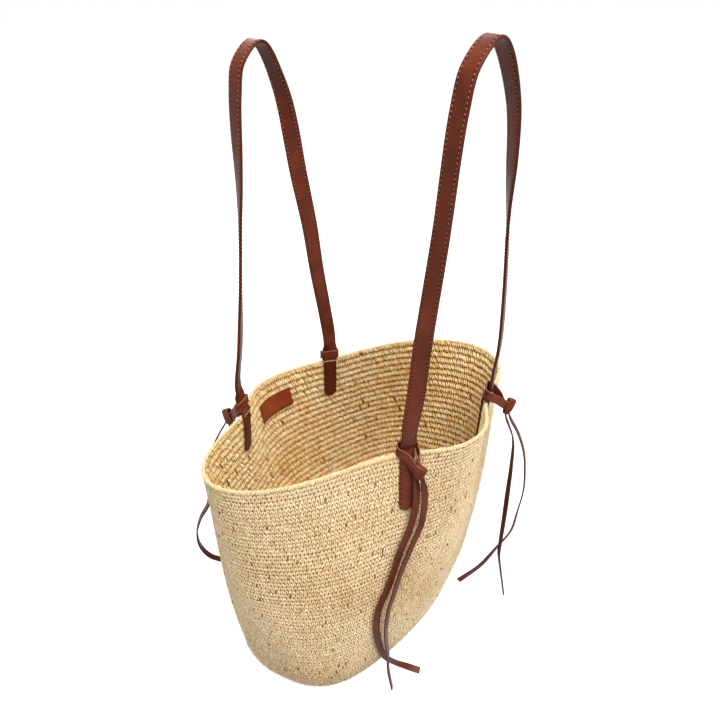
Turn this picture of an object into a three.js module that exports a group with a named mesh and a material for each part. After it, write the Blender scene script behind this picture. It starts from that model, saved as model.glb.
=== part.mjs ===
// Crocheted raffia basket bag with two long leather handles. A knotted leather tie binds each handle end.
// Millimetres, +Z up. The origin is on the floor, under the middle of the bag. +X runs along the handles,
// from their left to their right ends. The front handle stands on the -Y side.

import * as THREE from 'three';

// Basket
const BODY_HEIGHT = 283;
const WALL_THICKNESS = 4;
const MOUTH_HALF_LENGTH = 163;
const MOUTH_HALF_WIDTH = 104.5;
const MOUTH_SHEAR = -0.36; // the soft mouth is pulled askew: sideways shift per unit of depth
const MOUTH_LOBES = 0.1; // how far the mouth stands out at its four soft corners
const MOUTH_LOBE_PHASE = 0.2;
const RIM_WAVE = 4; // rise and dip of the rim, twice round the mouth
const RIM_RIPPLE = 3; // and four times round
const RIM_RIPPLE_PHASE = 0.72;
const FOOTPRINT_HALF_LENGTH = 165.5;
const FOOTPRINT_HALF_WIDTH = 84.5;
const FOOTPRINT_POWER = 2.66; // over 2, so the ends are fuller than an ellipse's
const FOOTPRINT_TURN = THREE.MathUtils.degToRad(11);
const WALL_TAPER = 0.39; // how early the wall leaves the mouth's outline for the footprint's
const WALL_BELLY = 12.5;
const BELLY_DROP = 1.2; // over 1, so that the belly is fullest under the middle of the height
const FOOT_HEIGHT = 60;
const SOLE_INSET = 45.5; // from the footprint's outline to the flat sole's
const EDGING_RADIUS = 2.3; // the last row, worked along the top of the wall

// Leather
const PLY = 1.3;
const STRAP_WIDTH = 16.4;
const TAB_WIDTH = 15;
const BEND_HEIGHT = BODY_HEIGHT + 22; // the line on which a handle folds down
const FRONT_BEND_OUT = 4.2; // the same line's place, out from the mean of the rim at the handle's two ends
const BACK_BEND_OUT = 1.2;
const FRONT_ARCH_RISE = 334; // from that line to the top
const BACK_ARCH_RISE = 320;
const FRONT_HANDLE_LEAN = THREE.MathUtils.degToRad(1.6);
const BACK_HANDLE_LEAN = THREE.MathUtils.degToRad(2);
const FRONT_ARCH_SWAY = -2.2; // sideways, of the top
const BACK_ARCH_SWAY = 0;
const SQUARING_LENGTH = 24; // the stretch above the bend in which the strap turns parallel to it
const TIE_WIDTH = 8;
const TIE_THICKNESS = 1.6;
const TAIL_WIDTH = 7;
const TAIL_THICKNESS = 2;
const KNOT_SIZE = 16;
const KNOT_THICKNESS = 7;
const LABEL_HEIGHT = 23;
const LABEL_THICKNESS = 1.2;
const LABEL_DROP = 31; // from the rim to the label's middle
const LABEL_FROM = THREE.MathUtils.degToRad(78); // the label's two ends, as angles round the bag
const LABEL_TO = THREE.MathUtils.degToRad(106);

// Fits
const GAP = 0.4; // between leather pieces that touch
const WALL_GAP = 0.5; // between leather and the curved wall
const BEND_GAP = 0.5; // between the moving strap's rounded end and the neck under it

const STRAP_THICKNESS = 2 * PLY + GAP;
const HALF_WALL = WALL_THICKNESS / 2;
const EDGING_TOP = GAP + 2 * EDGING_RADIUS; // over the rim
const NECK_TOP = BEND_HEIGHT - STRAP_THICKNESS / 2 - BEND_GAP;
const SHELL_COLUMNS = 84;

// Half a flat strap, from its end to its top. The arch gives half the width as a share of the half span,
// and the height as a share of the rise. The twist gives the distance from the end and the turn there, in
// degrees, out of the arch's own plane.
const FRONT_LEFT_HALF = {
  arch: [
    [1, 0],
    [1, 0.045],
    [0.93, 0.14],
    [0.865, 0.3],
    [0.685, 0.58],
    [0.54, 0.86],
    [0.4, 0.95],
  ],
  twist: [
    [0, 80],
    [40, 52],
    [80, 28],
    [130, 14],
    [210, 3],
    [400, 0],
  ],
};
const FRONT_RIGHT_HALF = {
  arch: [
    [1, 0],
    [1, 0.045],
    [1.045, 0.14],
    [0.968, 0.3],
    [0.745, 0.58],
    [0.505, 0.86],
  ],
  twist: [
    [0, 66],
    [80, 65],
    [170, 60],
    [200, 48],
    [235, 29],
    [280, 19],
    [330, 4],
    [400, 0],
  ],
};
const BACK_LEFT_HALF = {
  arch: [
    [1, 0],
    [1.002, 0.045],
    [0.885, 0.15],
    [0.755, 0.31],
    [0.55, 0.62],
    [0.435, 0.88],
    [0.33, 0.955],
  ],
  twist: [
    [0, 50],
    [70, 48],
    [110, 40],
    [175, 34],
    [215, 20],
    [245, 9],
    [290, 2],
    [400, 0],
  ],
};
const BACK_RIGHT_HALF = {
  arch: [
    [1, 0],
    [1, 0.045],
    [0.93, 0.15],
    [0.805, 0.31],
    [0.715, 0.46],
    [0.57, 0.62],
    [0.335, 0.88],
  ],
  twist: [
    [0, 88],
    [60, 87],
    [120, 81],
    [175, 72],
    [215, 55],
    [255, 32],
    [300, 11],
    [400, 0],
  ],
};

// The four handle ends, by their angle round the bag, with the sideways lean in degrees and the length of
// each tab. The tie's knot and loop are in the end's own frame: along the rim, out from the middle
// of the wall, up from the rim. They are drawn for a neck and a knot of the sizes named here, and move
// with the real ones. The tails are in the bag's frame, and each has the directions of its width, in equal
// steps from its top to its tip.
const DRAWN_STRAP_WIDTH = 16.4;
const DRAWN_EDGING_RADIUS = 2.3;
const DRAWN_PLY = 1.3;
const DRAWN_TIE_THICKNESS = 1.6;
const DRAWN_KNOT_THICKNESS = 7;
const HANDLE_ENDS = {
  front_left: {
    angle: 232,
    tabs: { outer: [4, 55], inner: [0, 52] },
    knot: [8, 14.9, -11],
    loop: [
      [6, 9.3, -12],
      [10.5, 8.6, -5],
      [12.5, 6.5, 2],
      [12.6, 3.5, 8],
      [11.2, -0.2, 12],
      [9.3, -3.6, 12.8],
      [0, -3, 13.3],
      [-9.3, -3.6, 12.8],
      [-11.2, 0, 12],
      [-11.8, 4, 9.5],
      [-7, 6.4, 4],
      [0, 7.9, -4.5],
    ],
    tails: [
      {
        path: [
          [-35, -98, 268.2],
          [-38, -102, 246],
          [-47, -104, 218],
          [-61, -104, 194],
          [-72, -104, 167],
          [-81, -103, 147],
          [-88, -102, 132],
          [-91, -102, 110],
          [-87, -102, 79],
          [-76, -102, 44],
          [-63, -106, 24],
          [-53, -114, 15],
          [-45, -126, 11],
        ],
        width: [-28, -28, -28],
      },
      {
        path: [
          [-34.2, -105, 268.5],
          [-33, -108, 246],
          [-40, -111, 220],
          [-52, -111, 201],
          [-63, -111, 183],
          [-71, -111, 167],
          [-77, -111, 150],
          [-83, -111, 136],
          [-86, -111, 117],
          [-84, -109, 90],
          [-80, -109, 60],
          [-82, -112, 38],
          [-83, -119, 14],
        ],
        width: [-28, 0, 40],
      },
    ],
  },
  front_right: {
    angle: 308.5,
    tabs: { outer: [14, 52], inner: [0, 52] },
    knot: [4, 24.3, -5],
    loop: [
      [4, 19.4, -5],
      [9.5, 14.5, 2],
      [11.8, 7, 9.5],
      [11.2, 0, 14],
      [9.3, -3.6, 15.2],
      [0, -3, 15.5],
      [-9.3, -3.6, 15.5],
      [-11.2, 0, 14.5],
      [-11.6, 7, 10.5],
      [-8, 13.5, 4],
      [-1, 18.8, -2],
    ],
    tails: [
      {
        path: [
          [108, -101, 268],
          [117, -109, 234],
          [119, -111, 194],
          [120, -111, 159],
          [119, -112, 118],
          [117, -113, 83],
          [114, -115, 61],
          [113, -121, 38],
          [111, -127, 21],
          [106, -134, 10],
        ],
        width: [30, 75, 75],
      },
      {
        path: [
          [109, -105, 268],
          [123, -112, 238],
          [127, -119, 216],
          [130, -122, 193],
          [132, -124, 159],
          [130, -122, 126],
          [127, -119, 93],
          [119, -108, 63],
          [104, -98, 36],
          [85, -81, 10],
        ],
        width: [30, 20, -45],
      },
    ],
  },
  back_right: {
    angle: 54.6,
    tabs: { outer: [0, 53], inner: [6, 51] },
    knot: [-6, 14.3, -8],
    loop: [
      [-6, 8.5, -8.5],
      [1, 7.4, -2.5],
      [8, 6.4, 3.5],
      [12, 4, 9],
      [11.2, 0, 12],
      [9.3, -3.6, 12.8],
      [0, -3, 13.3],
      [-9.3, -3.6, 12.8],
      [-11.2, 0, 12],
      [-12.5, 4.5, 8.5],
      [-12.5, 7.5, 1],
      [-10.5, 8.6, -5],
    ],
    tails: [
      {
        path: [
          [48, 94.5, 270.6],
          [48, 102, 246],
          [55, 105, 218],
          [64, 106, 190],
          [72, 107, 160],
          [80, 107, 135],
          [84, 107, 110],
          [82, 107, 80],
          [74, 105, 50],
          [66, 105, 25],
          [58, 112, 12],
        ],
        width: [-28, -28, -28],
      },
      {
        path: [
          [43, 92.5, 270.2],
          [38, 105, 246],
          [33, 109, 215],
          [30, 112, 180],
          [32, 113, 145],
          [38, 113, 110],
          [42, 111, 75],
          [40, 110, 40],
          [34, 113, 14],
        ],
        width: [-28, 10, 30],
      },
    ],
  },
  back_left: {
    angle: 128.5,
    tabs: { outer: [0, 53], inner: [13, 41] },
    knot: [-2, 21, -8],
    loop: [
      [-2, 16.4, -8],
      [5, 14.5, -2],
      [11, 8, 7],
      [11.2, 0, 13.5],
      [9.3, -3.6, 14.8],
      [0, -3, 15.5],
      [-9.3, -3.6, 14.8],
      [-11.2, 0, 13.5],
      [-11.5, 7, 8],
      [-9, 12, 1],
    ],
    tails: [
      {
        path: [
          [-104, 104, 265],
          [-113, 112, 244],
          [-120, 119, 220],
          [-124, 124, 185],
          [-127, 127, 149],
          [-135, 136, 125],
          [-140, 141, 101],
          [-139, 140, 79],
          [-132, 133, 62],
          [-118, 120, 52],
        ],
        width: [30, 75, 30],
      },
      {
        path: [
          [-99, 102, 265.4],
          [-98, 113, 235],
          [-93, 117, 205],
          [-89, 118, 170],
          [-86, 118, 135],
          [-84, 116, 100],
          [-80, 114, 65],
          [-74, 112, 35],
          [-70, 115, 14],
        ],
        width: [30, 20, 0],
      },
    ],
  },
};

const RAFFIA = { color: 0xd9bd86, roughness: 0.85, metalness: 0 };
const RAFFIA_EDGE = { color: 0xe8d6a8, roughness: 0.8, metalness: 0 };
const STRAP_LEATHER = { color: 0x7a3826, roughness: 0.45, metalness: 0 };
const TIE_LEATHER = { color: 0x6b2f21, roughness: 0.5, metalness: 0 };
const LABEL_LEATHER = { color: 0x8f3b1f, roughness: 0.55, metalness: 0 };

const bag = new THREE.Group();
bag.name = 'raffia_basket_bag';

function addPiece(name, geometry, look) {
  const piece = new THREE.Mesh(geometry, new THREE.MeshStandardMaterial(look));
  piece.name = name;
  bag.add(piece);
}

// Joins rings of equally many points into one closed body. Its ends are capped, unless the last ring
// joins the first.
function loft(rings, joined = false) {
  const count = rings[0].length;
  const points = rings.flat();
  const faces = [];
  const spans = joined ? rings.length : rings.length - 1;
  for (let ring = 0; ring < spans; ring++) {
    const here = ring * count;
    const there = ((ring + 1) % rings.length) * count;
    for (let side = 0; side < count; side++) {
      const next = (side + 1) % count;
      faces.push(here + side, here + next, there + next);
      faces.push(here + side, there + next, there + side);
    }
  }
  if (!joined) {
    const bottom = points.push(middleOf(rings[0])) - 1;
    const top = points.push(middleOf(rings.at(-1))) - 1;
    const last = (rings.length - 1) * count;
    for (let side = 0; side < count; side++) {
      const next = (side + 1) % count;
      faces.push(bottom, next, side);
      faces.push(top, last + side, last + next);
    }
  }
  if (signedVolume(points, faces) < 0) {
    faces.reverse();
  }
  const geometry = new THREE.BufferGeometry().setFromPoints(points);
  geometry.setIndex(faces);
  geometry.computeVertexNormals();
  return geometry;
}

function middleOf(ring) {
  const sum = ring.reduce((total, point) => total.add(point), new THREE.Vector3());
  return sum.divideScalar(ring.length);
}

function signedVolume(points, faces) {
  let volume = 0;
  for (let i = 0; i < faces.length; i += 3) {
    const [a, b, c] = [points[faces[i]], points[faces[i + 1]], points[faces[i + 2]]];
    volume += a.dot(b.clone().cross(c)) / 6;
  }
  return volume;
}

// The basket's wall. A place on it is an angle round the bag and a fall, from 0 at the rim to 1 at the floor.

function mouthPoint(angle) {
  const [c, s] = [Math.cos(angle), Math.sin(angle)];
  const ellipse = 1 / Math.hypot(c / MOUTH_HALF_LENGTH, s / MOUTH_HALF_WIDTH);
  const radius = ellipse * (1 + MOUTH_LOBES * Math.cos(4 * angle + MOUTH_LOBE_PHASE));
  const wave = RIM_WAVE * Math.sin(2 * angle) + RIM_RIPPLE * Math.sin(4 * angle - RIM_RIPPLE_PHASE);
  return new THREE.Vector3(radius * (c + MOUTH_SHEAR * s), radius * s, BODY_HEIGHT + wave);
}

function footprintPoint(angle, inset) {
  const c = Math.abs(Math.cos(angle - FOOTPRINT_TURN) / FOOTPRINT_HALF_LENGTH) ** FOOTPRINT_POWER;
  const s = Math.abs(Math.sin(angle - FOOTPRINT_TURN) / FOOTPRINT_HALF_WIDTH) ** FOOTPRINT_POWER;
  const radius = (c + s) ** (-1 / FOOTPRINT_POWER) - inset;
  return new THREE.Vector3(radius * Math.cos(angle), radius * Math.sin(angle), 0);
}

function wallPoint(angle, fall) {
  const mouth = mouthPoint(angle);
  const point = mouth.clone().lerp(footprintPoint(angle, 0), fall + WALL_TAPER * fall * (1 - fall));
  point.z = 0;
  const belly = WALL_BELLY * Math.sin(Math.PI * Math.max(0, fall) ** BELLY_DROP);
  point.addScaledVector(point.clone().normalize(), belly);
  point.z = mouth.z * (1 - fall);
  return point;
}

function outward(angle, fall) {
  const step = 0.002;
  const along = wallPoint(angle + step, fall).sub(wallPoint(angle - step, fall));
  return new THREE.Vector3(along.y, -along.x, 0).normalize();
}

// A point shifted along the wall, out from its middle, and up from the rim or down from it.
function byWall(angle, shift, out, rise) {
  const step = 0.01;
  const perRadian = wallPoint(angle + step, 0).distanceTo(wallPoint(angle, 0)) / step;
  const place = angle + shift / perRadian;
  const fall = -rise / mouthPoint(place).z;
  return wallPoint(place, fall).addScaledVector(outward(place, fall), out - HALF_WALL);
}

function ringAround(place) {
  const ring = [];
  for (let column = 0; column < SHELL_COLUMNS; column++) {
    ring.push(place((2 * Math.PI * column) / SHELL_COLUMNS));
  }
  return ring;
}

function footStart(angle) {
  return 1 - FOOT_HEIGHT / mouthPoint(angle).z;
}

function wallRing(share, inset) {
  return ringAround((angle) => {
    const fall = share * footStart(angle);
    return wallPoint(angle, fall).addScaledVector(outward(angle, fall), -inset);
  });
}

// The foot's quarter round, from the wall above it (0) to the flat sole (a right angle).
function footRing(turn, inset) {
  return ringAround((angle) => {
    const fall = footStart(angle);
    const point = wallPoint(angle, fall).lerp(footprintPoint(angle, SOLE_INSET), 1 - Math.cos(turn));
    point.z = FOOT_HEIGHT * (1 - Math.sin(turn)) + inset * Math.sin(turn);
    return point.addScaledVector(outward(angle, fall), -inset * Math.cos(turn));
  });
}

function basketShell() {
  const wallShares = [0, 0.06, 0.14, 0.24, 0.36, 0.5, 0.66, 0.83, 1];
  const footTurns = [0.35, 0.7, 1.05, 1.35, Math.PI / 2];
  const face = (inset) => [
    ...wallShares.map((share) => wallRing(share, inset)),
    ...footTurns.map((turn) => footRing(turn, inset)),
  ];
  return loft([...face(0).reverse(), ...face(WALL_THICKNESS)]);
}

function rimEdging() {
  const sides = 6;
  const angles = ringAround((angle) => angle);
  const rings = angles.map((angle) => {
    const out = outward(angle, 0);
    const centre = wallPoint(angle, 0).addScaledVector(out, -HALF_WALL);
    const ring = [];
    for (let side = 0; side < sides; side++) {
      const turn = (2 * Math.PI * side) / sides;
      const point = centre.clone().addScaledVector(out, EDGING_RADIUS * Math.cos(turn));
      point.z += EDGING_RADIUS * (1 + Math.sin(turn)) + GAP;
      ring.push(point);
    }
    return ring;
  });
  return loft(rings, true);
}

function labelPatch() {
  const stations = 8;
  const inner = -HALF_WALL - WALL_GAP;
  const rings = [];
  for (let station = 0; station <= stations; station++) {
    const angle = LABEL_FROM + ((LABEL_TO - LABEL_FROM) * station) / stations;
    const corner = (out, rise) => byWall(angle, 0, out, rise - LABEL_DROP);
    rings.push([
      corner(inner, -LABEL_HEIGHT / 2),
      corner(inner, LABEL_HEIGHT / 2),
      corner(inner - LABEL_THICKNESS, LABEL_HEIGHT / 2),
      corner(inner - LABEL_THICKNESS, -LABEL_HEIGHT / 2),
    ]);
  }
  return loft(rings);
}

// Handle ends

function placeEnd(end) {
  const angle = THREE.MathUtils.degToRad(end.angle);
  const out = outward(angle, 0);
  const along = new THREE.Vector3(-out.y, out.x, 0);
  const rim = wallPoint(angle, 0).addScaledVector(out, -HALF_WALL);
  return { angle, out, along, rim };
}

// The two ends of one handle share the line of their bends.
function placeEnds(left, right, bendOut) {
  const places = [placeEnd(left), placeEnd(right)];
  const meanY = (places[0].rim.y + places[1].rim.y) / 2;
  for (const place of places) {
    place.bend = new THREE.Vector3(place.rim.x, meanY + Math.sign(meanY) * bendOut, BEND_HEIGHT);
  }
  return places;
}

function smooth(value) {
  const x = Math.min(1, Math.max(0, value));
  return x * x * (3 - 2 * x);
}

// The frame of a handle end at a height over the rim. Above the edging it moves and turns to meet the bend.
function neckFrame(place, rise) {
  const turned = smooth((rise - EDGING_TOP) / (NECK_TOP - place.rim.z - EDGING_TOP));
  const square = new THREE.Vector3(Math.sign(place.along.x), 0, 0);
  const along = place.along.clone().lerp(square, turned).normalize();
  const out = new THREE.Vector3(along.y, -along.x, 0);
  const middle = place.rim.clone().lerp(place.bend, turned);
  middle.z = place.rim.z + rise;
  return { middle, along, out, turned };
}

function inFrame(frame, shift, off) {
  return frame.middle.clone().addScaledVector(frame.along, shift).addScaledVector(frame.out, off);
}

function byNeck(place, [shift, off, rise]) {
  return inFrame(neckFrame(place, rise), shift, off);
}

// How far a ply's outer face stands off the strap's middle, at a distance from the strap's rounded end.
function roundedEnd(distance) {
  const radius = STRAP_THICKNESS / 2;
  const depth = Math.max(0, radius - distance);
  return Math.sqrt(radius * radius - depth * depth);
}

const END_STEPS = [0.06, 0.3, 0.75, STRAP_THICKNESS / 2];
const THINNEST = 0.25; // of a ply, at the strap's rounded end

// Six points round a ply: three across its outer face and three back across its inner face.
function plySection(corner, halfWidth, outer, inner) {
  const there = [-1, 0, 1].map((side) => corner(side * halfWidth, outer));
  const back = [1, 0, -1].map((side) => corner(side * halfWidth, inner));
  return [...there, ...back];
}

// One ply of a handle end, on the outside (1) or the inside (-1) of the wall: a tab with a round tip below
// the rim, and above it half of the neck, which closes over the edging and turns to face the bend.
function tabPly(place, face, [lean, length]) {
  const halfTab = TAB_WIDTH / 2;
  const slope = Math.tan(THREE.MathUtils.degToRad(lean));
  const offWall = HALF_WALL + WALL_GAP;
  const offEdging = EDGING_RADIUS + WALL_GAP + GAP;
  const rings = [];
  const onWall = (rise) => (shift, off) => byWall(place.angle, shift - rise * slope, face * off, rise);
  for (const step of [0.3, 1.2, 2.8, 5, halfTab]) {
    const halfWidth = Math.sqrt(halfTab ** 2 - (halfTab - step) ** 2);
    rings.push(plySection(onWall(step - length), halfWidth, offWall + PLY, offWall));
  }
  for (const rise of [-33, -22, -11, -2]) {
    rings.push(plySection(onWall(rise), halfTab, offWall + PLY, offWall));
  }
  const neckHeight = NECK_TOP - place.rim.z;
  const heights = [EDGING_TOP / 2, EDGING_TOP, EDGING_TOP + 2.5, EDGING_TOP + 5];
  const ends = END_STEPS.map((step) => neckHeight - step).reverse();
  for (const rise of [...heights, ...ends]) {
    const neck = neckFrame(place, rise);
    const closing = smooth((rise - 0.6 * EDGING_TOP) / (0.4 * EDGING_TOP + 5));
    const inner = THREE.MathUtils.lerp(offEdging, GAP / 2, closing);
    const rounded = roundedEnd(neckHeight - rise);
    const outer = rise > neckHeight - STRAP_THICKNESS ? Math.max(inner + THINNEST, rounded) : inner + PLY;
    const corner = (shift, off) => inFrame(neck, shift, face * off);
    const width = THREE.MathUtils.lerp(TAB_WIDTH, STRAP_WIDTH, neck.turned);
    rings.push(plySection(corner, width / 2, outer, inner));
  }
  return loft(rings);
}

// Handles. The flat strap starts square to its bend, turns to follow the rim, and turns on over the top,
// so that it arches across its width.

function archCurve({ left, right, rise, lean, sway, leftHalf, rightHalf }) {
  const centreX = (left.bend.x + right.bend.x) / 2;
  const halfSpan = (right.bend.x - left.bend.x) / 2;
  const shares = [...leftHalf.arch.map(([x, z]) => [-x, z]), [0, 1], ...[...rightHalf.arch].reverse()];
  const points = shares.map(([x, z]) => {
    const across = centreX + x * halfSpan + sway * z * z;
    const y = left.bend.y + Math.sign(left.bend.y) * z * rise * Math.sin(lean);
    return new THREE.Vector3(across, y, BEND_HEIGHT + z * rise * Math.cos(lean));
  });
  return new THREE.CatmullRomCurve3(points, false, 'centripetal');
}

function twistAt(steps, distance) {
  const next = steps.findIndex(([there]) => there > distance);
  const [[from, low], [to, high]] = [steps[next - 1], steps[next]];
  return THREE.MathUtils.degToRad(THREE.MathUtils.mapLinear(distance, from, to, low, high));
}

function handlePly(handle, face) {
  const curve = archCurve(handle);
  const length = curve.getLength();
  const side = Math.sign(handle.left.bend.y);
  const radius = STRAP_THICKNESS / 2;
  const stations = 52;
  const crowding = 0.55; // of the stations toward the tight top
  const distances = END_STEPS.map((step) => step - radius);
  for (let station = 1; station < stations; station++) {
    const share = station / stations;
    distances.push(length * (share + (crowding * Math.sin(2 * Math.PI * share)) / (2 * Math.PI)));
  }
  distances.push(...END_STEPS.map((step) => length + radius - step).reverse());
  const rings = distances.map((distance) => {
    const share = THREE.MathUtils.clamp(distance / length, 0, 1);
    const tangent = curve.getTangentAt(share);
    const middle = curve.getPointAt(share).addScaledVector(tangent, distance - share * length);
    const fromEnd = Math.min(distance, length - distance);
    const half = side * Math.sign(share - 0.5);
    const { twist } = share < 0.5 ? handle.leftHalf : handle.rightHalf;
    const following = -Math.PI / 2 + half * twistAt(twist, Math.max(0, fromEnd));
    const square = -Math.PI / 2 + (half * Math.PI) / 2;
    const turn = THREE.MathUtils.lerp(square, following, smooth(fromEnd / SQUARING_LENGTH));
    const across = new THREE.Vector3(Math.cos(turn), Math.sin(turn), 0);
    across.addScaledVector(tangent, -across.dot(tangent)).normalize();
    const normal = tangent.clone().cross(across);
    const outer = Math.max(GAP / 2 + THINNEST, roundedEnd(fromEnd + radius));
    const corner = (shift, off) =>
      middle.clone().addScaledVector(across, (shift * STRAP_WIDTH) / 2).addScaledVector(normal, face * off);
    return [corner(-1, GAP / 2), corner(1, GAP / 2), corner(1, outer), corner(-1, outer)];
  });
  return loft(rings);
}

// Ties

const LACE_OUTLINE = [
  [-1, -0.4],
  [-0.8, -1],
  [0.8, -1],
  [1, -0.4],
  [1, 0.4],
  [0.8, 1],
  [-0.8, 1],
  [-1, 0.4],
];

function laceSection(middle, across, normal, width, thickness) {
  return LACE_OUTLINE.map(([side, up]) =>
    middle.clone().addScaledVector(across, (side * width) / 2).addScaledVector(normal, (up * thickness) / 2),
  );
}

const TIE_GROWTH = TIE_THICKNESS - DRAWN_TIE_THICKNESS;

// How much further out the front of the loop lies than it is drawn, over the tab and the edging.
const LOOP_OUT = EDGING_RADIUS - DRAWN_EDGING_RADIUS + PLY - DRAWN_PLY + TIE_GROWTH / 2;

function loopPoint([shift, off, rise]) {
  const wider = (STRAP_WIDTH - DRAWN_STRAP_WIDTH + TIE_GROWTH) / 2;
  const higher = 2 * (EDGING_RADIUS - DRAWN_EDGING_RADIUS) * smooth(rise / EDGING_TOP);
  return new THREE.Vector3(shift + Math.sign(shift) * wider, off + Math.sign(off) * LOOP_OUT, rise + higher);
}

function tieLoop(end, place) {
  const route = end.loop.map(loopPoint);
  const curve = new THREE.CatmullRomCurve3(route, true, 'centripetal');
  const box = new THREE.Box3().setFromPoints(route);
  const centre = box.getCenter(new THREE.Vector3());
  const reach = box.getSize(new THREE.Vector3()).divideScalar(2);
  const stations = 32;
  const rings = [];
  for (let station = 0; station < stations; station++) {
    const middle = curve.getPointAt(station / stations);
    const tangent = curve.getTangentAt(station / stations);
    const away = middle.clone().sub(centre);
    const normal = new THREE.Vector3(away.x / reach.x ** 2, away.y / reach.y ** 2, 0);
    normal.addScaledVector(tangent, -normal.dot(tangent)).normalize();
    const across = tangent.clone().cross(normal);
    const section = laceSection(middle, across, normal, TIE_WIDTH, TIE_THICKNESS);
    rings.push(section.map((point) => byNeck(place, point.toArray())));
  }
  return loft(rings, true);
}

// A five-cornered folded knot, lying flat against its loop.
function tieKnot(end, place) {
  const corners = [
    [-0.48, 0.3],
    [0.5, 0.5],
    [0.46, -0.22],
    [0.2, -0.5],
    [-0.42, -0.46],
  ];
  const softness = 0.16; // share of each edge that is cut off at a corner
  const outline = corners.flatMap((corner, i) => {
    const before = corners.at(i - 1);
    const after = corners[(i + 1) % corners.length];
    const toward = (other) => corner.map((value, axis) => value + softness * (other[axis] - value));
    return [toward(before), toward(after)];
  });
  const layers = [
    [-0.5, 0.78],
    [-0.32, 0.96],
    [0, 1],
    [0.32, 0.96],
    [0.5, 0.74],
  ];
  const [shift, off, rise] = end.knot;
  const knotOff = off + LOOP_OUT + (TIE_GROWTH + KNOT_THICKNESS - DRAWN_KNOT_THICKNESS) / 2;
  const rings = layers.map(([depth, size]) => {
    const scale = size * KNOT_SIZE;
    const layerOff = knotOff + depth * KNOT_THICKNESS;
    return outline.map(([x, z]) => byNeck(place, [shift + scale * x, layerOff, rise + scale * z]));
  });
  return loft(rings);
}

function tieTail(tail) {
  const curve = new THREE.CatmullRomCurve3(tail.path.map((point) => new THREE.Vector3(...point)));
  const stations = 26;
  const tipSlant = 0.5; // the tip is cut at a slant
  const rings = [];
  for (let station = 0; station <= stations; station++) {
    const share = station / stations;
    const middle = curve.getPointAt(share);
    const tangent = curve.getTangentAt(share);
    const step = Math.min(Math.floor(share * (tail.width.length - 1)), tail.width.length - 2);
    const within = share * (tail.width.length - 1) - step;
    const degrees = THREE.MathUtils.lerp(tail.width[step], tail.width[step + 1], within);
    const turn = THREE.MathUtils.degToRad(degrees);
    const across = new THREE.Vector3(Math.cos(turn), Math.sin(turn), 0);
    across.addScaledVector(tangent, -across.dot(tangent)).normalize();
    const normal = tangent.clone().cross(across);
    const slanted = across.clone();
    if (station === stations) {
      slanted.addScaledVector(tangent, tipSlant);
    }
    rings.push(laceSection(middle, slanted, normal, TAIL_WIDTH, TAIL_THICKNESS));
  }
  return loft(rings);
}

addPiece('basket_shell', basketShell(), RAFFIA);
addPiece('rim_edging', rimEdging(), RAFFIA_EDGE);
addPiece('label_patch', labelPatch(), LABEL_LEATHER);

const places = {};
[places.front_left, places.front_right] = placeEnds(
  HANDLE_ENDS.front_left,
  HANDLE_ENDS.front_right,
  FRONT_BEND_OUT,
);
[places.back_left, places.back_right] = placeEnds(
  HANDLE_ENDS.back_left,
  HANDLE_ENDS.back_right,
  BACK_BEND_OUT,
);
for (const [name, end] of Object.entries(HANDLE_ENDS)) {
  const place = places[name];
  addPiece(`${name}_outer_tab`, tabPly(place, 1, end.tabs.outer), STRAP_LEATHER);
  addPiece(`${name}_inner_tab`, tabPly(place, -1, end.tabs.inner), STRAP_LEATHER);
  addPiece(`${name}_tie_loop`, tieLoop(end, place), TIE_LEATHER);
  addPiece(`${name}_tie_knot`, tieKnot(end, place), TIE_LEATHER);
  end.tails.forEach((tail, i) => addPiece(`${name}_tail_${i + 1}`, tieTail(tail), TIE_LEATHER));
}

const HANDLES = {
  front: {
    left: places.front_left,
    right: places.front_right,
    rise: FRONT_ARCH_RISE,
    lean: FRONT_HANDLE_LEAN,
    sway: FRONT_ARCH_SWAY,
    leftHalf: FRONT_LEFT_HALF,
    rightHalf: FRONT_RIGHT_HALF,
  },
  back: {
    left: places.back_left,
    right: places.back_right,
    rise: BACK_ARCH_RISE,
    lean: BACK_HANDLE_LEAN,
    sway: BACK_ARCH_SWAY,
    leftHalf: BACK_LEFT_HALF,
    rightHalf: BACK_RIGHT_HALF,
  },
};
for (const [name, handle] of Object.entries(HANDLES)) {
  addPiece(`${name}_handle_inner_ply`, handlePly(handle, 1), STRAP_LEATHER);
  addPiece(`${name}_handle_outer_ply`, handlePly(handle, -1), STRAP_LEATHER);
}

export default bag;
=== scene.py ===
import math

import bpy
import numpy as np
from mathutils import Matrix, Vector


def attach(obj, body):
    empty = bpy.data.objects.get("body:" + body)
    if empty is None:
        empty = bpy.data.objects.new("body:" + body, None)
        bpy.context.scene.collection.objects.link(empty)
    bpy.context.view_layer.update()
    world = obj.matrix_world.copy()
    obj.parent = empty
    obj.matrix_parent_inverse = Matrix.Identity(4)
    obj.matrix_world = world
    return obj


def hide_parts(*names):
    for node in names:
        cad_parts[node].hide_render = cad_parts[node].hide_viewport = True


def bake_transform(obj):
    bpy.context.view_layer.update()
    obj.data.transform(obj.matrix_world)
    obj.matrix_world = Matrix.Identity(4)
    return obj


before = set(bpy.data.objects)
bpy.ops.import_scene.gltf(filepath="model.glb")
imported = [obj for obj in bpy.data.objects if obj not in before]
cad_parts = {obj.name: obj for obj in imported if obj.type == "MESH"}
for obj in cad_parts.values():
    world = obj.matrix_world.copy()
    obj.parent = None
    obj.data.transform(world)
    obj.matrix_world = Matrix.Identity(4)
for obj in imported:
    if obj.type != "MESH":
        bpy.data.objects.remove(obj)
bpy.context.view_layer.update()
bpy.ops.object.select_all(action="DESELECT")
rng = np.random.default_rng(11)

# Lengths are in metres. Angles round the bag are in radians, from +X over +Y.

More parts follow.
